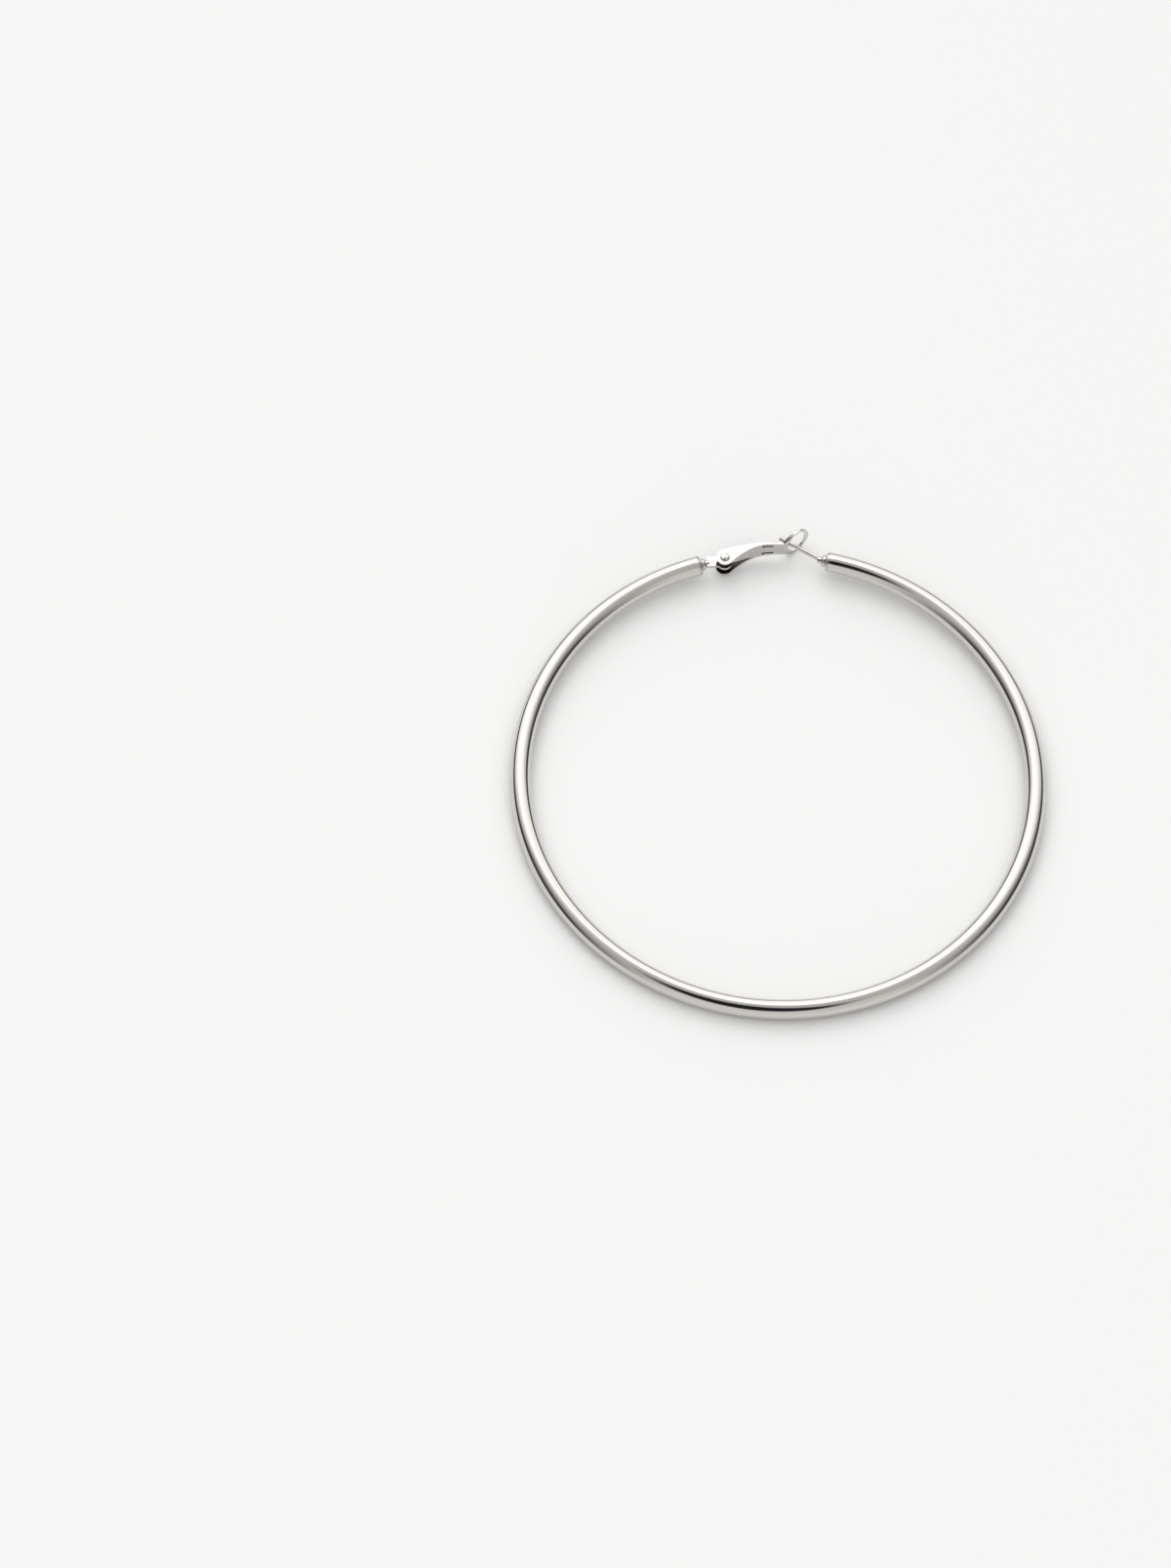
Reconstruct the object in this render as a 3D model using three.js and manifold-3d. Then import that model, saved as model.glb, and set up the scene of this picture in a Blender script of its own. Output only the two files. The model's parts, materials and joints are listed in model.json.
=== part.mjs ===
// A large round hoop earring with a hinged snap lever.
// Millimetres, +Z up. The hoop lies down: it rests on the rim of the lever's loop and on the far
// side of its tube, so its plane leans by about one degree. The origin is under the middle of it.

import * as THREE from 'three';
import { mergeVertices } from 'three/addons/utils/BufferGeometryUtils.js';
import Module from 'manifold-3d';

const wasm = await Module();
wasm.setup();

// Hoop: a bent round tube, open where the post and the lever close it.
const hoopRadius = 38.5;
const tubeRadius = 1.5;
const tubeWall = 0.3;
const halfGapAngle = THREE.MathUtils.degToRad(14.85);
const tubeSides = 20;
const boreSides = 16;
const tubeSteps = 80;

// Turned end plugs: a spigot in the tube, a rounded shoulder, a groove, a bead and a nipple.
const spigotRadius = 1.08;
const spigotLength = 1.2;
const seamGap = 0.04;
const plugLength = 1.72;
const plugSides = 24;
const shoulderEnd = new THREE.Vector2(1.1, 0.44);
const grooveRadius = 0.84;
const grooveAt = 0.5;
const beadRadius = 0.94;
const beadEnd = 1.16;
const nippleRadius = 0.5;

// Post: a straight wire, soldered into its plug.
const postRadius = 0.36;
const postRoot = new THREE.Vector2(8.95, 37.48);
const postTip = new THREE.Vector2(2.74, 41.62);
const postTipChamfer = 0.14;

// Hinge: a flat eye on one plug, between the two cheeks of the lever, and a round-headed rivet.
const pivot = new THREE.Vector2(-5.87, 37.6);
const eyeRadius = 1.1;
const eyeThickness = 0.5;
const tongueNear = 36.97;
const tongueFar = 38.6;
const tongueRootX = -8.5;
const rivetRadius = 0.4;
const rivetHeadRadius = 0.72;
const rivetHeadHeight = 0.27;
const eyeClearance = 0.05;
const cheekClearance = 0.03;
const headGap = 0.02;

// Lever: one stamped sheet, folded to a channel at the hinge and bent outwards at the loop.
const sheet = 0.34;
const channelHalfWidth = 1.7;
const cheekEnd = new THREE.Vector2(-5.87, 37.7);
const cheekEndRadius = 1.27;
const channelBend = new THREE.Vector2(-2.02, 39.5);
const channelCrown = new THREE.Vector2(-2.7, 39.92);
const neckHalfWidth = 1.52;
const neckY = 39.68;
const neckStartX = 0.7;
const slotEndX = 1.65;
const bendX = 3.33;
const bendRadius = 0.9;
const loopAngle = THREE.MathUtils.degToRad(33.4);
const loopCentre = new THREE.Vector2(5.09, 40.78);
const loopHalfLength = 2.4;
const loopHalfWidth = 2.75;
const holeCentre = 0.22;
const holeHalfLength = 1.55;
const holeHalfWidth = 2.27;
const holePower = 2.5;
const flareHalfWidth = 2.4;
const flareStart = -2.15;
const flareEnd = -1.2;
const windowEndX = -1.45;
const slotInner = 0.78;
const slotOuter = 1.14;
const slotStartX = 0.25;
const reliefStartX = -0.05;
const reliefInner = 0.7;
const reliefOuter = 1.35;

const metal = { color: 0xc9c6c1, roughness: 0.16, metalness: 1 };

function material(changes = {}) {
  return new THREE.MeshStandardMaterial({ ...metal, ...changes });
}

// ---- solids: three.js geometry in and out of the boolean kernel ----

function solidOf(geometry) {
  const bare = geometry.clone();
  bare.deleteAttribute('normal');
  bare.deleteAttribute('uv');
  const merged = mergeVertices(bare, 1e-4);
  return new wasm.Manifold(new wasm.Mesh({
    numProp: 3,
    vertProperties: Float32Array.from(merged.attributes.position.array),
    triVerts: Uint32Array.from(merged.index.array),
  }));
}

function geometryOf(solid) {
  const mesh = solid.getMesh();
  const geometry = new THREE.BufferGeometry();
  geometry.setAttribute('position', new THREE.BufferAttribute(mesh.vertProperties, 3));
  geometry.setIndex(new THREE.BufferAttribute(mesh.triVerts, 1));
  geometry.computeVertexNormals();
  return geometry;
}

function join(geometries) {
  return geometries.map(solidOf).reduce((sum, next) => sum.add(next));
}

function cut(solid, geometries) {
  return geometries.map(solidOf).reduce((rest, next) => rest.subtract(next), solid);
}

// ---- shapes shared by the pieces ----

// A flat outline in the hoop's plane, made a plate between two heights.
function plate(shape, low, high, curveSegments = 16) {
  const geometry = new THREE.ExtrudeGeometry(shape, {
    depth: high - low,
    bevelEnabled: false,
    curveSegments,
  });
  return geometry.translate(0, 0, low);
}

function box(low, high) {
  const size = new THREE.Vector3().subVectors(high, low);
  const middle = new THREE.Vector3().addVectors(low, high).multiplyScalar(0.5);
  return new THREE.BoxGeometry(size.x, size.y, size.z).translate(middle.x, middle.y, middle.z);
}

function onHoop(angle) {
  return new THREE.Vector2(Math.cos(angle), Math.sin(angle)).multiplyScalar(hoopRadius);
}

// Turns a shape made about +Y, from height 0 up, so that +Y runs from a point along a direction.
function aim(geometry, from, direction) {
  const turn = new THREE.Quaternion().setFromUnitVectors(new THREE.Vector3(0, 1, 0), direction);
  return geometry.applyQuaternion(turn).translate(from.x, from.y, 0);
}

// ---- the hoop tube ----

class HoopArc extends THREE.Curve {
  getPoint(t, target = new THREE.Vector3()) {
    const start = Math.PI / 2 + halfGapAngle;
    const sweep = 2 * Math.PI - 2 * halfGapAngle;
    const place = onHoop(start + t * sweep);
    return target.set(place.x, place.y, 0);
  }
}

function ringSection(outer, inner) {
  const section = new THREE.Shape(polygon(outer, tubeSides));
  section.holes.push(new THREE.Path(polygon(inner, boreSides)));
  return section;
}

function polygon(radius, sides) {
  const corner = (_, i) => {
    const angle = (2 * Math.PI * i) / sides;
    return new THREE.Vector2(radius * Math.cos(angle), radius * Math.sin(angle));
  };
  return Array.from({ length: sides }, corner);
}

function hoopTube() {
  return new THREE.ExtrudeGeometry(ringSection(tubeRadius, tubeRadius - tubeWall), {
    steps: tubeSteps,
    extrudePath: new HoopArc(),
    bevelEnabled: false,
  });
}

// ---- the end plugs ----

// side is -1 at the lever's end of the tube and +1 at the post's end.
function plugEnd(side) {
  const angle = Math.PI / 2 - side * halfGapAngle;
  const outwards = new THREE.Vector3(-side * Math.sin(angle), side * Math.cos(angle), 0);
  return { place: onHoop(angle), outwards };
}

function plug(side) {
  const quarter = (fromRadius, toRadius, fromHeight, toHeight, steps) => {
    const corner = (_, i) => {
      const angle = (Math.PI / 2) * ((i + 1) / steps);
      return [
        toRadius + (fromRadius - toRadius) * Math.cos(angle),
        fromHeight + (toHeight - fromHeight) * Math.sin(angle),
      ];
    };
    return Array.from({ length: steps }, corner);
  };
  const beadStart = grooveAt + 0.06;
  const profile = [
    [0, -spigotLength],
    [spigotRadius - 0.1, -spigotLength],
    [spigotRadius, -spigotLength + 0.1],
    [spigotRadius, seamGap],
    [tubeRadius - 0.01, seamGap],
    ...quarter(tubeRadius - 0.01, shoulderEnd.x, seamGap, shoulderEnd.y, 6),
    [grooveRadius, grooveAt],
    [beadRadius, beadStart],
    [beadRadius, beadStart + 0.1],
    ...quarter(beadRadius, nippleRadius, beadStart + 0.1, beadEnd, 6),
    [nippleRadius, plugLength - 0.06],
    [nippleRadius - 0.06, plugLength],
    [0, plugLength],
  ];
  const points = profile.map(([radius, height]) => new THREE.Vector2(radius, height));
  const end = plugEnd(side);
  return aim(new THREE.LatheGeometry(points, plugSides), end.place, end.outwards);
}

function earPost() {
  const along = new THREE.Vector2().subVectors(postTip, postRoot);
  const length = along.length();
  const profile = [
    [0, 0],
    [postRadius, 0],
    [postRadius, length - postTipChamfer],
    [postRadius - postTipChamfer * 0.35, length - postTipChamfer * 0.35],
    [postRadius - postTipChamfer, length],
    [0, length],
  ];
  const points = profile.map(([radius, height]) => new THREE.Vector2(radius, height));
  const direction = new THREE.Vector3(along.x, along.y, 0).normalize();
  const wire = aim(new THREE.LatheGeometry(points, 20), postRoot, direction);
  return geometryOf(join([plug(1), wire]));
}

function hingeTang() {
  const tongue = new THREE.Shape();
  tongue.moveTo(tongueRootX, tongueNear);
  tongue.lineTo(pivot.x - Math.sqrt(eyeRadius ** 2 - (pivot.y - tongueNear) ** 2), tongueNear);
  tongue.absarc(pivot.x, pivot.y, eyeRadius,
    Math.PI + Math.asin((pivot.y - tongueNear) / eyeRadius),
    Math.PI - Math.asin((tongueFar - pivot.y) / eyeRadius) + 2 * Math.PI);
  tongue.lineTo(tongueRootX, tongueFar);
  const eye = new THREE.Path();
  eye.absarc(pivot.x, pivot.y, rivetRadius + eyeClearance, 0, 2 * Math.PI, true);
  tongue.holes.push(eye);
  return geometryOf(join([plug(-1), plate(tongue, -eyeThickness / 2, eyeThickness / 2)]));
}

// ---- the rivet ----

function hingeRivet() {
  const seat = channelHalfWidth + headGap;
  const head = (up) => [
    [rivetRadius, up * seat],
    [rivetHeadRadius, up * seat],
    [rivetHeadRadius * 0.97, up * (seat + rivetHeadHeight * 0.3)],
    [rivetHeadRadius * 0.8, up * (seat + rivetHeadHeight * 0.67)],
    [rivetHeadRadius * 0.45, up * (seat + rivetHeadHeight * 0.93)],
    [0, up * (seat + rivetHeadHeight)],
  ];
  const profile = [...head(-1).reverse(), ...head(1)];
  const points = profile.map(([radius, height]) => new THREE.Vector2(radius, height));
  const rivet = new THREE.LatheGeometry(points, 20);
  return rivet.rotateX(Math.PI / 2).translate(pivot.x, pivot.y, 0);
}

// ---- the lever ----

// The sheet's inner face, from the hinge along the channel's back, the neck, the bend and the loop.
function leverCurve() {
  const hingeEnd = cheekNearPoint();
  const curve = new THREE.Path();
  curve.moveTo(hingeEnd.x, hingeEnd.y);
  curve.quadraticCurveTo(channelBend.x, channelBend.y, neckStartX, neckY);
  curve.lineTo(bendX - bendRadius * Math.tan(loopAngle / 2), neckY);
  const bendStart = curve.currentPoint.clone();
  curve.absarc(bendStart.x, neckY + bendRadius, bendRadius, -Math.PI / 2, -Math.PI / 2 + loopAngle);
  const onLoop = alongLoop(loopHalfLength + 1);
  curve.lineTo(onLoop.x, onLoop.y);
  return curve;
}

function alongLoop(distance) {
  const direction = new THREE.Vector2(Math.cos(loopAngle), Math.sin(loopAngle));
  return loopCentre.clone().addScaledVector(direction, distance);
}

// Where the channel's back leaves the round end of the cheeks.
function cheekNearPoint() {
  const slope = THREE.MathUtils.degToRad(45);
  return new THREE.Vector2(
    cheekEnd.x + cheekEndRadius * Math.sin(slope),
    cheekEnd.y - cheekEndRadius * Math.cos(slope),
  );
}

// The sheet seen edge on: the curve and its copy one sheet thickness outwards.
function leverRibbon() {
  const inner = leverCurve().getPoints(12);
  const outer = inner.map((point, i) => {
    const before = inner[Math.max(i - 1, 0)];
    const after = inner[Math.min(i + 1, inner.length - 1)];
    const normal = new THREE.Vector2(before.y - after.y, after.x - before.x).normalize();
    return point.clone().addScaledVector(normal, sheet);
  });
  return new THREE.Shape([...inner, ...outer.reverse()]);
}

// A rounded closed outline; a power above 2 makes it squarer than an ellipse.
function roundedOutline(halfLength, halfWidth, power, centre, steps) {
  const points = [];
  for (let i = 0; i < steps; i += 1) {
    const angle = (2 * Math.PI * i) / steps;
    const cos = Math.cos(angle);
    const sin = Math.sin(angle);
    points.push(new THREE.Vector2(
      centre + halfLength * Math.sign(cos) * Math.abs(cos) ** (2 / power),
      halfWidth * Math.sign(sin) * Math.abs(sin) ** (2 / power),
    ));
  }
  return points;
}

// A prism square to the loop's plane: x along the loop, y across it.
function loopPrism(points) {
  const reach = 1.6;
  const prism = plate(new THREE.Shape(points), -reach, reach);
  const along = new THREE.Vector3(Math.cos(loopAngle), Math.sin(loopAngle), 0);
  const across = new THREE.Vector3(0, 0, 1);
  const frame = new THREE.Matrix4().makeBasis(along, across, along.clone().cross(across));
  frame.setPosition(loopCentre.x, loopCentre.y, 0);
  return prism.applyMatrix4(frame);
}

// What the sheet keeps: the channel and the neck at their widths, and the loop's outline.
function leverOutline() {
  const channel = box(
    new THREE.Vector3(-7, 35, -channelHalfWidth + 0.05),
    new THREE.Vector3(neckStartX, 41, channelHalfWidth - 0.05),
  );
  const neck = box(
    new THREE.Vector3(neckStartX - 0.2, 39, -neckHalfWidth),
    new THREE.Vector3(bendX + 0.1, 41, neckHalfWidth),
  );
  const loop = loopPrism(roundedOutline(loopHalfLength, loopHalfWidth, 2, 0, 48));
  const flare = loopPrism([
    new THREE.Vector2(flareStart, -neckHalfWidth),
    new THREE.Vector2(flareEnd, -flareHalfWidth),
    new THREE.Vector2(flareEnd, flareHalfWidth),
    new THREE.Vector2(flareStart, neckHalfWidth),
  ]);
  return join([channel, neck, loop, flare]);
}

// The back of the channel is cut away slantwise towards the hinge.
function windowPrism() {
  const inside = channelHalfWidth - sheet;
  const hingeEnd = cheekNearPoint();
  const shape = new THREE.Shape();
  shape.moveTo(hingeEnd.x - 1.5, -inside);
  shape.lineTo(windowEndX, -inside);
  shape.quadraticCurveTo(hingeEnd.x + 1, 0, hingeEnd.x, inside);
  shape.lineTo(hingeEnd.x - 1.5, inside);
  return plate(shape, -41, -35).rotateX(Math.PI / 2);
}

// Slots between the neck's middle strip and its two edges, each with a relief hole at the channel.
function neckSlots() {
  const slots = [];
  for (const side of [-1, 1]) {
    const band = (fromX, toX, from, to) => box(
      new THREE.Vector3(fromX, 39, Math.min(side * from, side * to)),
      new THREE.Vector3(toX, 41, Math.max(side * from, side * to)),
    );
    slots.push(band(slotStartX - 0.1, slotEndX, slotInner, slotOuter));
    slots.push(band(reliefStartX, slotStartX, reliefInner, reliefOuter));
  }
  return slots;
}

function cheek(side) {
  const near = cheekNearPoint();
  const farSlope = THREE.MathUtils.degToRad(14);
  const outline = new THREE.Shape();
  outline.moveTo(near.x, near.y);
  outline.quadraticCurveTo(channelBend.x, channelBend.y, neckStartX, neckY);
  outline.lineTo(neckStartX + 0.3, neckY + 0.02);
  outline.lineTo(neckStartX + 0.3, neckY + sheet);
  const farX = cheekEnd.x - cheekEndRadius * Math.sin(farSlope);
  const farY = cheekEnd.y + cheekEndRadius * Math.cos(farSlope);
  outline.quadraticCurveTo(channelCrown.x, channelCrown.y, farX, farY);
  outline.absarc(cheekEnd.x, cheekEnd.y, cheekEndRadius,
    Math.PI / 2 + farSlope, 2 * Math.PI - Math.PI / 4);
  const hole = new THREE.Path();
  hole.absarc(pivot.x, pivot.y, rivetRadius + cheekClearance, 0, 2 * Math.PI, true);
  outline.holes.push(hole);
  const inside = side * (channelHalfWidth - sheet);
  const outside = side * channelHalfWidth;
  return plate(outline, Math.min(inside, outside), Math.max(inside, outside), 12);
}

function snapLever() {
  const reach = loopHalfWidth + 0.4;
  const slab = solidOf(plate(leverRibbon(), -reach, reach));
  const hole = loopPrism(
    roundedOutline(holeHalfLength, holeHalfWidth, holePower, holeCentre, 40),
  );
  const sheetPart = cut(slab.intersect(leverOutline()), [hole, windowPrism(), ...neckSlots()]);
  const cheeks = join([cheek(-1), cheek(1)]);
  return geometryOf(sheetPart.add(cheeks));
}

// ---- the earring ----

function piece(name, geometry, look) {
  const mesh = new THREE.Mesh(geometry, material(look));
  mesh.name = name;
  return mesh;
}

// At rest the loop's rim and the far side of the tube touch the surface.
function restTurn() {
  const reach = hoopRadius + loopCentre.length();
  const lean = Math.asin((loopHalfWidth - tubeRadius) / reach);
  const towards = Math.atan2(loopCentre.y, loopCentre.x);
  const axle = new THREE.Vector3(Math.sin(towards), -Math.cos(towards), 0);
  return new THREE.Quaternion().setFromAxisAngle(axle, lean);
}

const earring = new THREE.Group();
earring.add(piece('hoop_tube', hoopTube()));
earring.add(piece('hinge_tang', hingeTang(), { roughness: 0.2 }));
earring.add(piece('ear_post', earPost(), { roughness: 0.2 }));
earring.add(piece('hinge_rivet', hingeRivet(), { roughness: 0.2 }));
earring.add(piece('snap_lever', snapLever(), { roughness: 0.24 }));

earring.quaternion.copy(restTurn());
earring.updateMatrixWorld(true);
const extent = new THREE.Box3().setFromObject(earring, true);
const middle = extent.getCenter(new THREE.Vector3());
earring.position.set(-middle.x, -middle.y, -extent.min.z);

const scene = new THREE.Group();
scene.add(earring);

export default scene;
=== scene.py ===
# Looks of a large hoop earring with a hinged snap lever, lying on a pale table.
# Sizes in the dictionaries are millimetres in the hoop's own frame: x towards the post's end of
# the gap, y out through the gap, z square to the hoop's plane. They are made metres at the end.

import json
import math

import bmesh
import bpy
from mathutils import Matrix, Vector


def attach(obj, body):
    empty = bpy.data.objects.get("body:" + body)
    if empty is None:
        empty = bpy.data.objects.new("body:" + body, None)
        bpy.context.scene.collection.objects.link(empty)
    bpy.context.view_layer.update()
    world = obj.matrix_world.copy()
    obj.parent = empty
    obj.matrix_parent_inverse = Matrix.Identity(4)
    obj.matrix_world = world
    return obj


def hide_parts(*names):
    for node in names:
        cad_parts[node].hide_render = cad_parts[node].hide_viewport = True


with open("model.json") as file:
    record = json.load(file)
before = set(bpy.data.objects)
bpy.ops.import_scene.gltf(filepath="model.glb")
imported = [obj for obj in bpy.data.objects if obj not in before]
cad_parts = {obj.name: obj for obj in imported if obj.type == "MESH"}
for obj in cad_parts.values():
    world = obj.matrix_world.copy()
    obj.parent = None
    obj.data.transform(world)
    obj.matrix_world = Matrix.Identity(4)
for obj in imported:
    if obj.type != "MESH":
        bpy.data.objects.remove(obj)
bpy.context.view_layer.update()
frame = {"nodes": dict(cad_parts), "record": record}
print("frame loaded:", sorted(frame["nodes"]))

scene = bpy.context.scene
millimetre = 0.001
edgeAngle = 40     # edges sharper than this are rounded, in degrees
smoothAngle = 35   # faces within this of each other shade as one


# Where the earring lies.
hinge = next(j for j in frame["record"]["behaviour"]["joints"] if j["name"] == "lever_hinge")
pivot = Vector((-5.87, 37.6, 0))  # the rivet's middle, in the hoop's own frame


def hoopFrame():
    # The hoop leans a little: it rests on the loop's rim and on the far side of its tube.
    turn = Vector((0, 0, 1)).rotation_difference(Vector(hinge["axis"])).to_matrix().to_4x4()
    shift = Vector(hinge["pos_m"]) - turn @ (pivot * millimetre)
    return Matrix.Translation(shift) @ turn @ Matrix.Scale(millimetre, 4)


lying = hoopFrame()


def addNode(tree, kind, settings=None, **links):
    # Settings are the node's own properties; links fill its inputs with values or sockets.
    node = tree.nodes.new(kind)
    for name, value in (settings or {}).items():
        setattr(node, name, value)
    for name, value in links.items():
        socket = node.inputs[int(name[1:])] if name[1:].isdigit() else node.inputs[name.replace("_", " ")]
        if isinstance(value, bpy.types.NodeSocket):
            tree.links.new(value, socket)
        else:
            socket.default_value = value
    return node


def linearColour(hexValue):
    # sRGB hex to the linear values that the shader takes
    channels = [int(hexValue[i:i + 2], 16) / 255 for i in (1, 3, 5)]
    linear = [c / 12.92 if c <= 0.04045 else ((c + 0.055) / 1.055) ** 2.4 for c in channels]
    return (*linear, 1.0)


# Drawn and polished stainless tube: a mirror with fine draw lines along it, so reflections
# stay sharp along the tube and are slightly stretched across it.
drawnTubeLook = {
    "pale": "#D9D6D2", "deep": "#CBC8C3",
    "roughness": (0.05, 0.11),
    "lineSpacing": 0.22,   # real draw lines are about 0.02 mm apart, drawn coarser to show
    "lineLength": 22.0,
    "smearSize": 7.0,      # faint finger marks
    "lineHeight": 0.0007, "bumpStrength": 0.35,
}

# Turned stainless fittings: fine tool marks round the axis, then tumbled bright.
turnedFittingLook = {
    "pale": "#D6D3CF", "deep": "#C4C0BA",
    "roughness": (0.05, 0.11),
    "lineSpacing": 0.12, "lineLength": 0.9,
    "smearSize": 3.0,
    "lineHeight": 0.0006, "bumpStrength": 0.3,
}

# Stamped stainless sheet, tumbled after bending: flat faces keep a faint rolled grain, which
# softens what they mirror. Faces inside the channel and the slots get painted shade, a dark brown colour.
stampedSheetLook = {
    "pale": "#D8D6D3", "deep": "#C6C3BE",
    "paintedShadeColour": "#3A342F",   # painted shade inside the channel and the slots
    "roughness": (0.20, 0.31),
    "lineSpacing": 0.10, "lineLength": 2.4,
    "smearSize": 2.2,
    "lineHeight": 0.0010, "bumpStrength": 0.4,
}


def steelMaterial(name, look, attribute=None):
    material = bpy.data.materials.new(name)
    material.use_nodes = True
    tree = material.node_tree
    tree.nodes.clear()
    output = addNode(tree, "ShaderNodeOutputMaterial")
    steel = addNode(tree, "ShaderNodeBsdfPrincipled", Metallic=1.0)
    tree.links.new(steel.outputs["BSDF"], output.inputs["Surface"])

    # Millimetres on the piece: the tube's own straightened place, or the object's.
    if attribute:
        place = addNode(tree, "ShaderNodeAttribute", {"attribute_name": attribute}).outputs["Vector"]
        grainScale = (1 / look["lineSpacing"], 1 / look["lineSpacing"], 1 / look["lineLength"])
    else:
        metres = addNode(tree, "ShaderNodeTexCoord").outputs["Object"]
        place = addNode(tree, "ShaderNodeVectorMath", {"operation": "SCALE"},
                        Vector=metres, Scale=1 / millimetre).outputs["Vector"]
        grainScale = (1 / look["lineLength"], 1 / look["lineSpacing"], 1 / look["lineSpacing"])

    grainPlace = addNode(tree, "ShaderNodeVectorMath", {"operation": "MULTIPLY"},
                         i0=place, i1=grainScale).outputs["Vector"]
    grain = addNode(tree, "ShaderNodeTexNoise", Vector=grainPlace, Scale=1.0, Detail=4.0,
                    Roughness=0.6).outputs["Fac"]
    smear = addNode(tree, "ShaderNodeTexNoise", Vector=place, Scale=1 / look["smearSize"],
                    Detail=3.0, Roughness=0.55).outputs["Fac"]

    tint = addNode(tree, "ShaderNodeMapRange", Value=grain, From_Min=0.3, From_Max=0.7).outputs["Result"]
    colour = addNode(tree, "ShaderNodeMix", {"data_type": "RGBA"}, i0=tint,
                     i6=linearColour(look["deep"]), i7=linearColour(look["pale"]))
    # Painted shade: the marked faces inside the channel and the slots are coloured towards a dark brown.
    if "paintedShadeColour" in look:
        paintedShade = addNode(tree, "ShaderNodeAttribute", {"attribute_name": "paintedShade"}).outputs["Fac"]
        colour = addNode(tree, "ShaderNodeMix", {"data_type": "RGBA"}, i0=paintedShade,
                         i6=colour.outputs[2], i7=linearColour(look["paintedShadeColour"]))
    tree.links.new(colour.outputs[2], steel.inputs["Base Color"])

    wear = addNode(tree, "ShaderNodeMath", {"operation": "MULTIPLY_ADD"},
                   i0=grain, i1=0.5, i2=0.0).outputs["Value"]
    uneven = addNode(tree, "ShaderNodeMath", {"operation": "MULTIPLY_ADD"},
                     i0=smear, i1=0.5, i2=wear).outputs["Value"]
    low, high = look["roughness"]
    roughness = addNode(tree, "ShaderNodeMapRange", Value=uneven, From_Min=0.3, From_Max=0.7,
                        To_Min=low, To_Max=high).outputs["Result"]
    tree.links.new(roughness, steel.inputs["Roughness"])

    bump = addNode(tree, "ShaderNodeBump", Strength=look["bumpStrength"],
                   Distance=look["lineHeight"] * millimetre, Height=grain)
    tree.links.new(bump.outputs["Normal"], steel.inputs["Normal"])
    return material


drawnTube = steelMaterial("drawnPolishedTube", drawnTubeLook, "straightTube")
turnedFitting = steelMaterial("turnedBrightFitting", turnedFittingLook)
rivetSteel = steelMaterial("headedRivetSteel", turnedFittingLook)
stampedSheet = steelMaterial("stampedTumbledSheet", stampedSheetLook)
print("metals ready")


def linkObject(name, mesh):
    made = bpy.data.objects.new(name, mesh)
    scene.collection.objects.link(made)
    return made


def plainMesh(source):
    depsgraph = bpy.context.evaluated_depsgraph_get()
    mesh = bpy.data.meshes.new_from_object(source.evaluated_get(depsgraph))
    bpy.data.objects.remove(source)
    return mesh


def runTree(tree, sizes, base=None):
    # Inputs are set by identifier before the object is first evaluated.
    carrier = linkObject("carrier", base or bpy.data.meshes.new("carrier"))
    modifier = carrier.modifiers.new("shape", "NODES")
    modifier.node_group = tree
    sockets = {s.name: s.identifier for s in tree.interface.items_tree
               if s.item_type == "SOCKET" and s.in_out == "INPUT"}
    for name, value in sizes.items():
        modifier[sockets[name]] = value
    return plainMesh(carrier)


def areaNormals(mesh):
    # Each corner takes the mean of the faces round its point that lie within an angle of its
    # own face, weighed by area, so flats stay flat and their rounded edges blend into them.
    limit = math.cos(math.radians(smoothAngle))
    weights = [face.area for face in mesh.polygons]
    directions = [face.normal.copy() for face in mesh.polygons]
    around = [[] for _ in mesh.vertices]
    for face in mesh.polygons:
        for point in face.vertices:
            around[point].append(face.index)
    corners = []
    for face in mesh.polygons:
        for point in face.vertices:
            near = [f for f in around[point] if directions[f].dot(directions[face.index]) > limit]
            corners.append(sum((directions[f] * weights[f] for f in near), Vector()).normalized())
    mesh.shade_smooth()
    mesh.normals_split_custom_set(corners)


def finishPiece(name, mesh, body, node, cut=True):
    mesh.transform(lying)
    if cut:
        areaNormals(mesh)
    mesh.name = name
    piece = linkObject(name, mesh)
    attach(piece, body)
    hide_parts(node)
    return piece


def newTree(name, inputs):
    tree = bpy.data.node_groups.new(name, "GeometryNodeTree")
    tree.interface.new_socket("Geometry", in_out="OUTPUT", socket_type="NodeSocketGeometry")
    kinds = {float: "NodeSocketFloat", int: "NodeSocketInt", "material": "NodeSocketMaterial",
             "geometry": "NodeSocketGeometry"}
    for label, kind in inputs.items():
        tree.interface.new_socket(label, in_out="INPUT", socket_type=kinds[kind])
    return tree, addNode(tree, "NodeGroupInput").outputs


def endTree(tree, geometry, material):
    smooth = addNode(tree, "GeometryNodeSetShadeSmooth", Geometry=geometry).outputs["Geometry"]
    real = addNode(tree, "GeometryNodeRealizeInstances", Geometry=smooth).outputs["Geometry"]
    dressed = addNode(tree, "GeometryNodeSetMaterial", Geometry=real, Material=material)
    addNode(tree, "NodeGroupOutput", Geometry=dressed.outputs["Geometry"])


# The tube is bent to an open ring. The names are the node tree's inputs.
hoop = {
    "Hoop radius": 38.5,
    "Tube radius": 1.497,
    "Wall": 0.3,
    "Edge rounding": 0.09,
    "Half gap": math.radians(14.85),
    "Steps along": 320,
    "Sides": 64,
}


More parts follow.
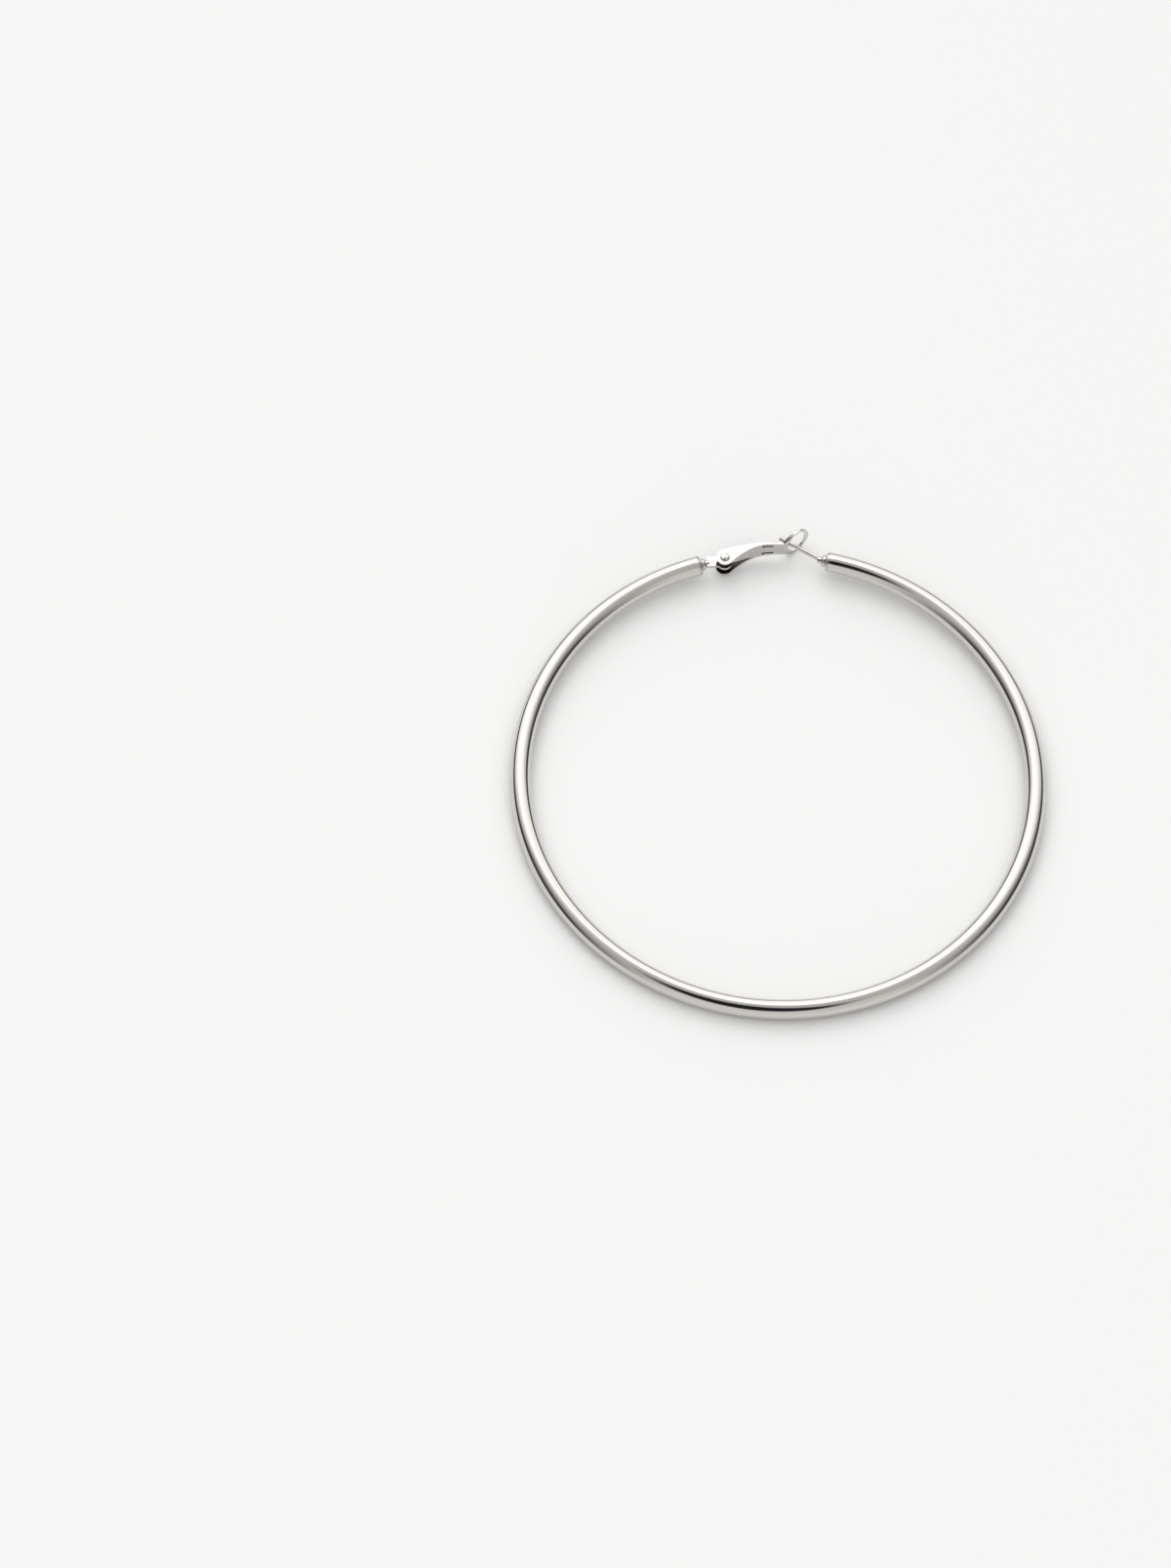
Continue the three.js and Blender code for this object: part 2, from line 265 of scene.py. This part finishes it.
def bentTubeTree():
    # A straight tube, its wall's outline swept round a small circle, is bent round the hoop.
    tree, sizes = newTree("bentTube", {
        "Hoop radius": float, "Tube radius": float, "Wall": float, "Edge rounding": float,
        "Half gap": float, "Steps along": int, "Sides": int, "Material": "material",
    })

    def maths(operation, first, second=0.0, third=0.0):
        return addNode(tree, "ShaderNodeMath", {"operation": operation},
                       i0=first, i1=second, i2=third).outputs["Value"]

    sweep = maths("MULTIPLY_ADD", sizes["Half gap"], -2.0, 2 * math.pi)
    length = maths("MULTIPLY", sweep, sizes["Hoop radius"])
    middle = maths("MULTIPLY_ADD", sizes["Wall"], -0.5, sizes["Tube radius"])

    wall = addNode(tree, "GeometryNodeCurvePrimitiveQuadrilateral",
                   Width=sizes["Wall"], Height=length).outputs["Curve"]
    wall = addNode(tree, "GeometryNodeFilletCurve", {"mode": "POLY"}, Curve=wall, Count=4,
                   Radius=sizes["Edge rounding"], Limit_Radius=True).outputs["Curve"]

    # Only the two long sides are cut into steps.
    place = addNode(tree, "GeometryNodeInputPosition").outputs["Position"]
    index = addNode(tree, "GeometryNodeInputIndex").outputs["Index"]
    count = addNode(tree, "GeometryNodeAttributeDomainSize", {"component": "CURVE"}, Geometry=wall)
    following = maths("MODULO", maths("ADD", index, 1.0), count.outputs["Point Count"])
    nextPlace = addNode(tree, "GeometryNodeFieldAtIndex", {"data_type": "FLOAT_VECTOR", "domain": "POINT"},
                        Index=following, Value=place).outputs["Value"]
    reach = addNode(tree, "ShaderNodeVectorMath", {"operation": "DISTANCE"}, i0=place, i1=nextPlace)
    isLong = maths("GREATER_THAN", reach.outputs["Value"], maths("MULTIPLY", length, 0.5))
    cuts = maths("MULTIPLY", isLong, sizes["Steps along"])
    wall = addNode(tree, "GeometryNodeSubdivideCurve", Curve=wall, Cuts=cuts).outputs["Curve"]

    ring = addNode(tree, "GeometryNodeCurvePrimitiveCircle", Resolution=sizes["Sides"],
                   Radius=middle).outputs["Curve"]
    tube = addNode(tree, "GeometryNodeCurveToMesh", Curve=ring, Profile_Curve=wall).outputs["Mesh"]
    tube = addNode(tree, "GeometryNodeStoreNamedAttribute",
                   {"data_type": "FLOAT_VECTOR", "domain": "POINT"},
                   Geometry=tube, Name="straightTube", Value=place).outputs["Geometry"]

    parts = addNode(tree, "ShaderNodeSeparateXYZ", Vector=place).outputs
    outwards = maths("ADD", sizes["Hoop radius"], parts["X"])
    arm = addNode(tree, "ShaderNodeCombineXYZ", X=outwards, Y=0.0, Z=parts["Y"]).outputs["Vector"]
    # The tube's middle comes to -Y, opposite the gap.
    angle = maths("SUBTRACT", maths("DIVIDE", parts["Z"], sizes["Hoop radius"]), math.pi / 2)
    bent = addNode(tree, "ShaderNodeVectorRotate", {"rotation_type": "Z_AXIS"},
                   Vector=arm, Angle=angle).outputs["Vector"]
    tube = addNode(tree, "GeometryNodeSetPosition", Geometry=tube, Position=bent).outputs["Geometry"]
    outwards = addNode(tree, "GeometryNodeFlipFaces", Mesh=tube).outputs["Mesh"]
    endTree(tree, outwards, sizes["Material"])
    return tree


hoopTube = finishPiece(
    "hoopTube", runTree(bentTubeTree(), {**hoop, "Material": drawnTube}),
    "hoop", "hoop_tube", cut=False,
)
print("hoop tube bent:", len(hoopTube.data.polygons), "faces")


def turnedPartTree():
    # The base mesh is a profile: x is the radius and y the height along the part's axis.
    tree, sizes = newTree("turnedPart", {"Geometry": "geometry", "Sides": int, "Material": "material"})
    profile = addNode(tree, "GeometryNodeMeshToCurve", Mesh=sizes["Geometry"]).outputs["Curve"]
    # The sweep lays a profile's height downwards, so it is turned over first and its faces after.
    inset = addNode(tree, "GeometryNodeTransform", Geometry=profile, Translation=(-1, 0, 0),
                    Scale=(1, -1, 1)).outputs["Geometry"]
    ring = addNode(tree, "GeometryNodeCurvePrimitiveCircle", Resolution=sizes["Sides"],
                   Radius=1.0).outputs["Curve"]
    turned = addNode(tree, "GeometryNodeCurveToMesh", Curve=ring, Profile_Curve=inset).outputs["Mesh"]
    closed = addNode(tree, "GeometryNodeMergeByDistance", Geometry=turned, Distance=0.0005)
    outwards = addNode(tree, "GeometryNodeFlipFaces", Mesh=closed.outputs["Geometry"])
    endTree(tree, outwards.outputs["Mesh"], sizes["Material"])
    return tree


turnedPart = turnedPartTree()


def roundedProfile(corners):
    # Each corner is radius, height, rounding; a rounding of 0 stays sharp.
    points = []
    for i, (radius, height, rounding) in enumerate(corners):
        here = Vector((radius, height))
        if rounding == 0 or i in (0, len(corners) - 1):
            points.append(here)
            continue
        before = Vector(corners[i - 1][:2]) - here
        after = Vector(corners[i + 1][:2]) - here
        half = before.angle(after) / 2
        step = min(rounding / math.tan(half), before.length * 0.49, after.length * 0.49)
        start, end = here + before.normalized() * step, here + after.normalized() * step
        for t in (0, 0.25, 0.5, 0.75, 1):
            points.append(start.lerp(here, t).lerp(here.lerp(end, t), t))
    return points


def turnedMesh(corners, sides, material):
    profile = bpy.data.meshes.new("profile")
    points = roundedProfile(corners)
    edges = [(i, i + 1) for i in range(len(points) - 1)]
    profile.from_pydata([(p.x, p.y, 0) for p in points], edges, [])
    return runTree(turnedPart, {"Sides": sides, "Material": material}, profile)


def aimed(mesh, root, direction):
    # A turned part stands along its own z; this lays that axis along a direction.
    mesh.transform(Vector((0, 0, 1)).rotation_difference(direction).to_matrix().to_4x4())
    mesh.transform(Matrix.Translation(root))
    return mesh


plug = {
    "spigotRadius": 1.08, "spigotLength": 1.2,
    "seam": 0.02,
    "shoulderRadius": 1.494,
    "shoulderEnd": (1.1, 0.44),
    "grooveRadius": 0.84, "grooveAt": 0.5,
    "beadRadius": 0.94, "beadSide": 0.14, "beadEnd": 1.16,
    "nippleRadius": 0.5, "length": 1.72,
    "sides": 64,
}


def quarterRound(fromRadius, toRadius, fromHeight, toHeight, steps=10):
    # a quarter of an ellipse, from a straight side in to a smaller radius
    points = []
    for i in range(1, steps + 1):
        a = math.pi / 2 * i / steps
        points.append((toRadius + (fromRadius - toRadius) * math.cos(a),
                       fromHeight + (toHeight - fromHeight) * math.sin(a), 0))
    return points


def plugMesh(side):
    # side is -1 at the lever's end of the tube and +1 at the post's end
    angle = math.pi / 2 - side * hoop["Half gap"]
    root = Vector((math.cos(angle), math.sin(angle), 0)) * hoop["Hoop radius"]
    outwards = Vector((-side * math.sin(angle), side * math.cos(angle), 0))
    shoulder, bead = plug["shoulderEnd"], plug["beadRadius"]
    beadSide = plug["grooveAt"] + plug["beadSide"]
    corners = [
        (0, -plug["spigotLength"], 0),
        (plug["spigotRadius"], -plug["spigotLength"], 0.1),
        (plug["spigotRadius"], plug["seam"], 0),
        (plug["shoulderRadius"], plug["seam"], 0),
        *quarterRound(plug["shoulderRadius"], shoulder[0], plug["seam"] + 0.01, shoulder[1]),
        (plug["grooveRadius"], shoulder[1] + 0.02, 0.05),
        (plug["grooveRadius"], plug["grooveAt"] + 0.04, 0.04),
        (bead, plug["grooveAt"] + 0.06, 0.04),
        (bead, beadSide, 0),
        *quarterRound(bead, plug["nippleRadius"], beadSide, plug["beadEnd"]),
        (plug["nippleRadius"], plug["length"], 0.08),
        (0, plug["length"], 0),
    ]
    return aimed(turnedMesh(corners, plug["sides"], turnedFitting), root, outwards)


def combine(first, second, operation):
    target, tool = linkObject("target", first), linkObject("tool", second)
    modifier = target.modifiers.new("cut", "BOOLEAN")
    modifier.object = tool
    modifier.operation = operation
    modifier.solver = "MANIFOLD"
    result = plainMesh(target)
    bpy.data.objects.remove(tool)
    return result


def prism(outline, low, high, place=None):
    # A flat outline in the hoop's plane, given thickness between two heights.
    mesh = bpy.data.meshes.new("prism")
    shape = bmesh.new()
    bottom = [shape.verts.new((x, y, low)) for x, y in outline]
    top = [shape.verts.new((x, y, high)) for x, y in outline]
    shape.faces.new(bottom[::-1])
    shape.faces.new(top)
    count = len(outline)
    for i in range(count):
        j = (i + 1) % count
        shape.faces.new((bottom[i], bottom[j], top[j], top[i]))
    bmesh.ops.recalc_face_normals(shape, faces=shape.faces)
    shape.to_mesh(mesh)
    shape.free()
    if place:
        mesh.transform(place)
        if place.determinant() < 0:
            mesh.flip_normals()
    return mesh


def tidied(mesh, roundingWidth, material):
    # Coplanar triangles become whole faces, edges get their tumbled rounding, flats stay flat.
    shape = bmesh.new()
    shape.from_mesh(mesh)
    bmesh.ops.remove_doubles(shape, verts=shape.verts, dist=0.0015)
    bmesh.ops.dissolve_limit(shape, angle_limit=math.radians(0.4), verts=shape.verts, edges=shape.edges)
    for face in shape.faces:
        face.smooth = True
    shape.to_mesh(mesh)
    shape.free()
    mesh.materials.clear()
    mesh.materials.append(material)
    holder = linkObject("holder", mesh)
    bevel = holder.modifiers.new("rounding", "BEVEL")
    bevel.width = roundingWidth
    bevel.segments = 3
    bevel.limit_method = "ANGLE"
    bevel.angle_limit = math.radians(edgeAngle)
    bevel.miter_outer = "MITER_ARC"
    return plainMesh(holder)


# A straight wire, soldered into its end plug.
post = {
    "radius": 0.36,
    "root": (8.95, 37.48), "tip": (2.74, 41.62),
    "tipRounding": 0.12,
    "sides": 40,
}


def earPostMesh():
    root, tip = Vector((*post["root"], 0)), Vector((*post["tip"], 0))
    length = (tip - root).length
    corners = [
        (0, 0, 0), (post["radius"], 0, 0),
        (post["radius"], length, post["tipRounding"]), (0, length, 0),
    ]
    wire = aimed(turnedMesh(corners, post["sides"], turnedFitting), root, (tip - root).normalized())
    return combine(plugMesh(1), wire, "UNION")


finishPiece("earPost", earPostMesh(), "hoop", "ear_post")
print("ear post made")


# A flat tongue with an eye, one with its end plug.
tang = {
    "eyeRadius": 1.1, "eyeHole": 0.45, "thickness": 0.5,
    "near": 36.97, "far": 38.6, "rootX": -8.5,
    "rounding": 0.05,
}


def circlePoints(x, y, radius, start, end, steps):
    angles = [start + (end - start) * i / steps for i in range(steps + 1)]
    return [(x + radius * math.cos(a), y + radius * math.sin(a)) for a in angles]


def hingeTangMesh():
    below = math.asin((pivot.y - tang["near"]) / tang["eyeRadius"])
    above = math.asin((tang["far"] - pivot.y) / tang["eyeRadius"])
    outline = [(tang["rootX"], tang["near"])]
    outline += circlePoints(pivot.x, pivot.y, tang["eyeRadius"], math.pi + below, 3 * math.pi - above, 72)
    outline += [(tang["rootX"], tang["far"])]
    half = tang["thickness"] / 2
    tongue = prism(outline, -half, half)
    eye = prism(circlePoints(pivot.x, pivot.y, tang["eyeHole"], 0, 2 * math.pi, 48)[:-1], -1, 1)
    tongue = tidied(combine(tongue, eye, "DIFFERENCE"), tang["rounding"], turnedFitting)
    return combine(plugMesh(-1), tongue, "UNION")


finishPiece("hingeTang", hingeTangMesh(), "hoop", "hinge_tang")

rivet = {
    "radius": 0.4, "headRadius": 0.72, "headHeight": 0.27,
    "seat": 1.72,   # half the distance between the undersides of the heads
    "clearance": 0.03,
    "sides": 48,
}


def rivetMesh():
    # A round head each side: a short straight rim, then a dome.
    def head(up):
        rim = 0.1 * rivet["headHeight"]
        dome = rivet["headHeight"] - rim
        points = [(rivet["radius"], up * rivet["seat"], 0), (rivet["headRadius"], up * rivet["seat"], 0)]
        for i in range(9):
            a = math.radians(10 + 80 * i / 8)
            height = rivet["seat"] + rim + dome * math.sin(a)
            points.append((rivet["headRadius"] * math.cos(a), up * height, 0))
        points[-1] = (0, points[-1][1], 0)
        return points
    return aimed(turnedMesh(head(-1)[::-1] + head(1), rivet["sides"], rivetSteel),
                 pivot, Vector((0, 0, 1)))


finishPiece("hingeRivet", rivetMesh(), "lever", "hinge_rivet")
print("tang and rivet made")


# One stamped sheet: a channel round the hinge, a slotted neck and a loop bent outwards.
lever = {
    "sheet": 0.34,
    "channelHalfWidth": 1.7, "cheekEnd": (-5.87, 37.7), "cheekEndRadius": 1.27,
    "channelBend": (-2.02, 39.5), "channelCrown": (-2.7, 39.92),
    "cheekNearSlope": math.radians(45), "cheekFarSlope": math.radians(14),
    "neckHalfWidth": 1.52, "neckY": 39.68, "neckStartX": 0.7, "neckTaper": 0.9,
    "bendX": 3.33, "bendRadius": 0.9,
    "loopAngle": math.radians(33.4), "loopCentre": (5.09, 40.78),
    "loopHalfLength": 2.4, "loopHalfWidth": 2.745,
    "holeCentre": 0.22, "holeHalfLength": 1.55, "holeHalfWidth": 2.27, "holePower": 2.5,
    "flareStart": -2.15, "flareEnd": -1.2, "flareHalfWidth": 2.4,
    "windowEndX": -1.45,
    "slotInner": 0.78, "slotOuter": 1.14, "slotStartX": 0.25, "slotEndX": 1.65,
    "reliefStartX": -0.05, "reliefInner": 0.7, "reliefOuter": 1.35,
    "edgeRounding": 0.11,
}

# How far the cutting solids reach past the sheet: along y, across it, and square to the loop.
sheetReach, sideReach, loopReach = (38.5, 41.5), (-3.2, 3.2), (-1.6, 1.6)


def quadratic(start, control, end, steps):
    # points after the start, up to the end
    a, b, c = Vector(start), Vector(control), Vector(end)
    return [a.lerp(b, i / steps).lerp(b.lerp(c, i / steps), i / steps)[:2] for i in range(1, steps + 1)]


def cheekNearPoint():
    slope = lever["cheekNearSlope"]
    return (lever["cheekEnd"][0] + lever["cheekEndRadius"] * math.sin(slope),
            lever["cheekEnd"][1] - lever["cheekEndRadius"] * math.cos(slope))


def sheetCurve():
    # The sheet's inner face and its outward normals: the channel's back, the neck and the loop.
    near, neckX, neckY, radius = cheekNearPoint(), lever["neckStartX"], lever["neckY"], lever["bendRadius"]
    start, control, end = Vector(near), Vector(lever["channelBend"]), Vector((neckX, neckY))
    points = []
    for i in range(29):
        t = i / 28
        first, second = start.lerp(control, t), control.lerp(end, t)
        along = (second - first).normalized()
        points.append((first.lerp(second, t), Vector((-along.y, along.x))))
    points[-1] = (end, Vector((0, 1)))
    bendStart = lever["bendX"] - radius * math.tan(lever["loopAngle"] / 2)
    for i in range(15):
        a = lever["loopAngle"] * i / 14
        centre = Vector((bendStart, neckY + radius))
        points.append((centre + Vector((math.sin(a), -math.cos(a))) * radius,
                       Vector((-math.sin(a), math.cos(a)))))
    along = Vector((math.cos(lever["loopAngle"]), math.sin(lever["loopAngle"])))
    points.append((Vector(lever["loopCentre"]) + along * (lever["loopHalfLength"] + 1), points[-1][1]))
    return points


def thickened(curve):
    return [point + normal * lever["sheet"] for point, normal in curve]


def roundedOutline(halfLength, halfWidth, power, centre, steps):
    points = []
    for i in range(steps):
        a = 2 * math.pi * i / steps
        c, s = math.cos(a), math.sin(a)
        points.append((centre + halfLength * math.copysign(abs(c) ** (2 / power), c),
                       halfWidth * math.copysign(abs(s) ** (2 / power), s)))
    return points


def loopPlace():
    # x runs along the loop and y across it
    along = Vector((math.cos(lever["loopAngle"]), math.sin(lever["loopAngle"]), 0))
    across = Vector((0, 0, 1))
    square = along.cross(across)
    basis = Matrix((along, across, square)).transposed().to_4x4()
    return Matrix.Translation((*lever["loopCentre"], 0)) @ basis


def block(low, high):
    corners = [(low[0], low[1]), (high[0], low[1]), (high[0], high[1]), (low[0], high[1])]
    return prism(corners, low[2], high[2])


# An outline drawn in x and z is carried along y.
acrossSheet = Matrix(((1, 0, 0, 0), (0, 0, 1, 0), (0, 1, 0, 0), (0, 0, 0, 1)))


def neckAndLoop():
    curve = [pair for pair in sheetCurve() if pair[0].x > lever["neckStartX"] - 0.01]
    ribbon = [tuple(pair[0]) for pair in curve] + [tuple(p) for p in reversed(thickened(curve))]
    slab = prism(ribbon, *sideReach)
    wide, neck = lever["channelHalfWidth"], lever["neckHalfWidth"]
    startX, endX = lever["neckStartX"] + 0.1, lever["bendX"] + 0.1
    outline = [(startX, -wide), (startX + 0.25, -wide),
               (startX + lever["neckTaper"], -neck), (endX, -neck)]
    outline += [(x, -z) for x, z in reversed(outline)]
    kept = prism(outline, *sheetReach, acrossSheet)
    place = loopPlace()
    loop = roundedOutline(lever["loopHalfLength"], lever["loopHalfWidth"], 2, 0, 96)
    kept = combine(kept, prism(loop, *loopReach, place), "UNION")
    start, end, flared = lever["flareStart"], lever["flareEnd"], lever["flareHalfWidth"]
    flare = prism([(start, -neck), (end, -flared), (end, flared), (start, neck)], *loopReach, place)
    kept = combine(kept, flare, "UNION")
    sheet = combine(slab, kept, "INTERSECT")
    hole = roundedOutline(lever["holeHalfLength"], lever["holeHalfWidth"], lever["holePower"],
                          lever["holeCentre"], 80)
    return combine(sheet, prism(hole, *loopReach, place), "DIFFERENCE")


def windowPrism():
    # The channel's back is cut away slantwise towards the hinge.
    inside = lever["channelHalfWidth"] - lever["sheet"]
    near = cheekNearPoint()
    outline = [(near[0] - 1.5, -inside), (lever["windowEndX"], -inside)]
    outline += quadratic((lever["windowEndX"], -inside), (near[0] + 1, 0), (near[0], inside), 24)
    outline += [(near[0] - 1.5, inside)]
    return prism(outline, 35, 41, acrossSheet)


def channel():
    # One solid with the cheeks' outline, hollowed between the cheeks down to the sheet of its back.
    neckX, neckY, sheet = lever["neckStartX"], lever["neckY"], lever["sheet"]
    curve = [pair for pair in sheetCurve() if pair[0].x < neckX + 0.01]
    wide, radius = lever["channelHalfWidth"], lever["cheekEndRadius"]
    endX, endY = lever["cheekEnd"]
    farSlope = lever["cheekFarSlope"]
    outline = [tuple(pair[0]) for pair in curve]
    outline += [(neckX + 0.3, neckY), (neckX + 0.3, neckY + sheet)]
    far = (endX - radius * math.sin(farSlope), endY + radius * math.cos(farSlope))
    outline += quadratic(outline[-1], lever["channelCrown"], far, 28)
    outline += circlePoints(endX, endY, radius, math.pi / 2 + farSlope, 7 * math.pi / 4, 60)[1:-1]
    solid = prism(outline, -wide, wide)
    near = cheekNearPoint()
    hollow = [tuple(p) for p in thickened(curve)]
    hollow += [(neckX + 0.5, neckY + sheet), (neckX + 0.5, 42), (-9, 42), (-9, 34),
               (near[0] - 0.3, 34), near]
    solid = combine(solid, prism(hollow, -(wide - sheet), wide - sheet), "DIFFERENCE")
    solid = combine(solid, windowPrism(), "DIFFERENCE")
    hole = circlePoints(pivot.x, pivot.y, rivet["radius"] + rivet["clearance"], 0, 2 * math.pi, 48)[:-1]
    return combine(solid, prism(hole, -3, 3), "DIFFERENCE")


def paintRecessShade(mesh):
    # painted shade: 1 on the walls of the slots and inside the channel, 0 elsewhere
    inner = lever["channelHalfWidth"] - lever["sheet"]
    paintedShade = mesh.attributes.new("paintedShade", "FLOAT", "CORNER")
    for face in mesh.polygons:
        x, y, z = face.center
        inSlot = (lever["reliefStartX"] - 0.01 < x < lever["slotEndX"] + 0.01
                  and lever["reliefInner"] - 0.01 < abs(z) < lever["reliefOuter"] + 0.01
                  and abs(face.normal.y) < 0.75)
        inChannel = x < lever["neckStartX"] and (
            (abs(abs(z) - inner) < 0.02 and abs(face.normal.z) > 0.9)
            or (abs(z) < inner and face.normal.y > 0.3 and x > lever["cheekEnd"][0]))
        if inSlot or inChannel:
            for corner in face.loop_indices:
                paintedShade.data[corner].value = 1.0
    return mesh


def snapLeverMesh():
    mesh = combine(channel(), neckAndLoop(), "UNION")
    for side in (-1, 1):
        for startX, endX, inner, outer in (
            (lever["slotStartX"] - 0.1, lever["slotEndX"], lever["slotInner"], lever["slotOuter"]),
            (lever["reliefStartX"], lever["slotStartX"], lever["reliefInner"], lever["reliefOuter"]),
        ):
            low, high = sorted((side * inner, side * outer))
            mesh = combine(mesh, block((startX, 39, low), (endX, 41, high)), "DIFFERENCE")
    return paintRecessShade(tidied(mesh, lever["edgeRounding"], stampedSheet))


snapLever = finishPiece("snapLever", snapLeverMesh(), "lever", "snap_lever")
print("snap lever made:", len(snapLever.data.polygons), "faces")


table = {"size": 6.0, "colour": "#EDEDED"}


def makeFloor():
    half = table["size"] / 2
    mesh = bpy.data.meshes.new("tableTop")
    corners = [(-half, -half, 0), (half, -half, 0), (half, half, 0), (-half, half, 0)]
    mesh.from_pydata(corners, [], [(0, 1, 2, 3)])
    floor = linkObject("tableTop", mesh)
    material = bpy.data.materials.new("paleTable")
    material.use_nodes = True
    surface = material.node_tree.nodes["Principled BSDF"]
    surface.inputs["Base Color"].default_value = linearColour(table["colour"])
    surface.inputs["Roughness"].default_value = 0.9
    surface.inputs["Specular IOR Level"].default_value = 0.1
    mesh.materials.append(material)


# The light all round, as levels by elevation and by azimuth, in degrees. Azimuth 0 is behind the
# table and 180 behind the camera, and "soft" is how far each side of its edge a change takes.
studio = {
    "overhead": 0.62,           # the ceiling's level
    "ceilingFrom": 14.0, "ceilingTo": 60.0,
    "frontGlow": 0.86,          # the pale room behind the camera
    "sideDark": 0.06,           # the unlit room seen low at the sides
    "frontFrom": 100.0, "frontTo": 150.0,
    "backGlow": 1.42,           # a broad bright panel behind the table
    "backFrom": 5.0, "backFromSoft": 5.0,
    "backTo": 72.0, "backToSoft": 10.0,
    "backRise": 0.27,           # its lower edge rises towards the sides, degrees a degree
    "backSide": 60.0, "backSideSoft": 26.0,
    "cameraDark": 0.02,         # the dark round the camera
    "cameraDarkElevation": 59.0, "cameraDarkAzimuth": -13.0,
    "cameraDarkWidth": 22.0, "cameraDarkSoft": 6.0,
    "backdrop": "#F2F2F2",      # what the camera sees past the table
}


def makeStudio():
    world = bpy.data.worlds.new("softStudio")
    scene.world = world
    world.use_nodes = True
    tree = world.node_tree
    tree.nodes.clear()

    def maths(operation, first, second=0.0, third=0.0):
        return addNode(tree, "ShaderNodeMath", {"operation": operation},
                       i0=first, i1=second, i2=third).outputs["Value"]

    def ramp(value, low, high, atLow, atHigh):
        # a smooth change between two levels
        return addNode(tree, "ShaderNodeMapRange", {"interpolation_type": "SMOOTHSTEP"}, Value=value,
                       From_Min=low, From_Max=high, To_Min=atLow, To_Max=atHigh).outputs["Result"]

    direction = addNode(tree, "ShaderNodeTexCoord").outputs["Generated"]
    parts = addNode(tree, "ShaderNodeSeparateXYZ", Vector=direction).outputs
    elevation = maths("MULTIPLY", maths("ARCSINE", parts["Z"]), 180 / math.pi)
    azimuth = maths("MULTIPLY", maths("ARCTAN2", parts["X"], parts["Y"]), 180 / math.pi)
    aside = maths("ABSOLUTE", azimuth)   # 0 behind the table, 180 behind the camera

    def edge(value, at, soft, atLow, atHigh):
        return ramp(value, at - soft, at + soft, atLow, atHigh)

    base = ramp(aside, studio["frontFrom"], studio["frontTo"], studio["sideDark"], studio["frontGlow"])
    ceiling = ramp(elevation, studio["ceilingFrom"], studio["ceilingTo"], 0.0, 1.0)
    base = addNode(tree, "ShaderNodeMix", i0=ceiling, i2=base, i3=studio["overhead"]).outputs[0]
    aboveEdge = maths("MULTIPLY_ADD", aside, -studio["backRise"], elevation)
    panel = maths("MULTIPLY", edge(aboveEdge, studio["backFrom"], studio["backFromSoft"], 0.0, 1.0),
                  edge(elevation, studio["backTo"], studio["backToSoft"], 1.0, 0.0))
    panel = maths("MULTIPLY", panel, edge(aside, studio["backSide"], studio["backSideSoft"], 1.0, 0.0))
    glow = addNode(tree, "ShaderNodeMix", i0=panel, i2=base, i3=studio["backGlow"]).outputs[0]

    darkAt = math.radians(studio["cameraDarkElevation"])
    darkSide = math.radians(studio["cameraDarkAzimuth"])
    darkMiddle = (math.cos(darkAt) * math.sin(darkSide), -math.cos(darkAt) * math.cos(darkSide),
                  math.sin(darkAt))
    towards = addNode(tree, "ShaderNodeVectorMath", {"operation": "DOT_PRODUCT"}, i0=direction,
                      i1=darkMiddle).outputs["Value"]
    apart = maths("MULTIPLY", maths("ARCCOSINE", maths("MINIMUM", towards, 1.0)), 180 / math.pi)
    dark = edge(apart, studio["cameraDarkWidth"], studio["cameraDarkSoft"], 1.0, 0.0)
    glow = addNode(tree, "ShaderNodeMix", i0=dark, i2=glow, i3=studio["cameraDark"]).outputs[0]

    lit = addNode(tree, "ShaderNodeBackground", Color=(1.0, 0.995, 0.985, 1.0), Strength=glow)
    seen = addNode(tree, "ShaderNodeBackground", Color=linearColour(studio["backdrop"]), Strength=1.0)
    isCamera = addNode(tree, "ShaderNodeLightPath").outputs["Is Camera Ray"]
    both = addNode(tree, "ShaderNodeMixShader", i0=isCamera, i1=lit.outputs[0], i2=seen.outputs[0])
    addNode(tree, "ShaderNodeOutputWorld", Surface=both.outputs[0])


# The key shows in the metal. The fill only lifts the shadows.
softboxes = {
    "key": {"place": (-0.25, 1.1, 1.35), "size": 1.1, "power": 4.0, "mirrored": True},
    "fill": {"place": (-0.2, -0.4, 1.6), "size": 2.2, "power": 12.0, "mirrored": False},
}


def makeSoftbox(name, sizes):
    light = bpy.data.lights.new(name, "AREA")
    light.shape = "DISK"
    light.size = sizes["size"]
    light.energy = sizes["power"]
    lamp = linkObject(name, light)
    lamp.location = sizes["place"]
    lamp.rotation_euler = (-Vector(sizes["place"])).to_track_quat("-Z", "Y").to_euler()
    lamp.visible_glossy = sizes["mirrored"]


# Where the camera stands, in metres, with its right and up directions.
shot = {
    "place": (-0.1057853, -0.7318818, 1.3033307),
    "right": (0.9982343, -0.0510360, 0.0303900),
    "up": (0.0295710, 0.8707091, 0.4909085),
    "lens": 230.01,
}


def makeCamera():
    camera = bpy.data.cameras.new("camera")
    camera.lens = shot["lens"]
    camera.sensor_width = 36.0
    camera.clip_end = 30.0
    holder = linkObject("camera", camera)
    right, up = Vector(shot["right"]), Vector(shot["up"])
    axes = Matrix((right, up, right.cross(up))).transposed().to_4x4()
    holder.matrix_world = Matrix.Translation(shot["place"]) @ axes
    scene.camera = holder


makeFloor()
makeStudio()
for lampName, lampSizes in softboxes.items():
    makeSoftbox(lampName, lampSizes)
makeCamera()
scene.view_settings.view_transform = "Standard"
scene.view_settings.look = "None"
print("studio ready")
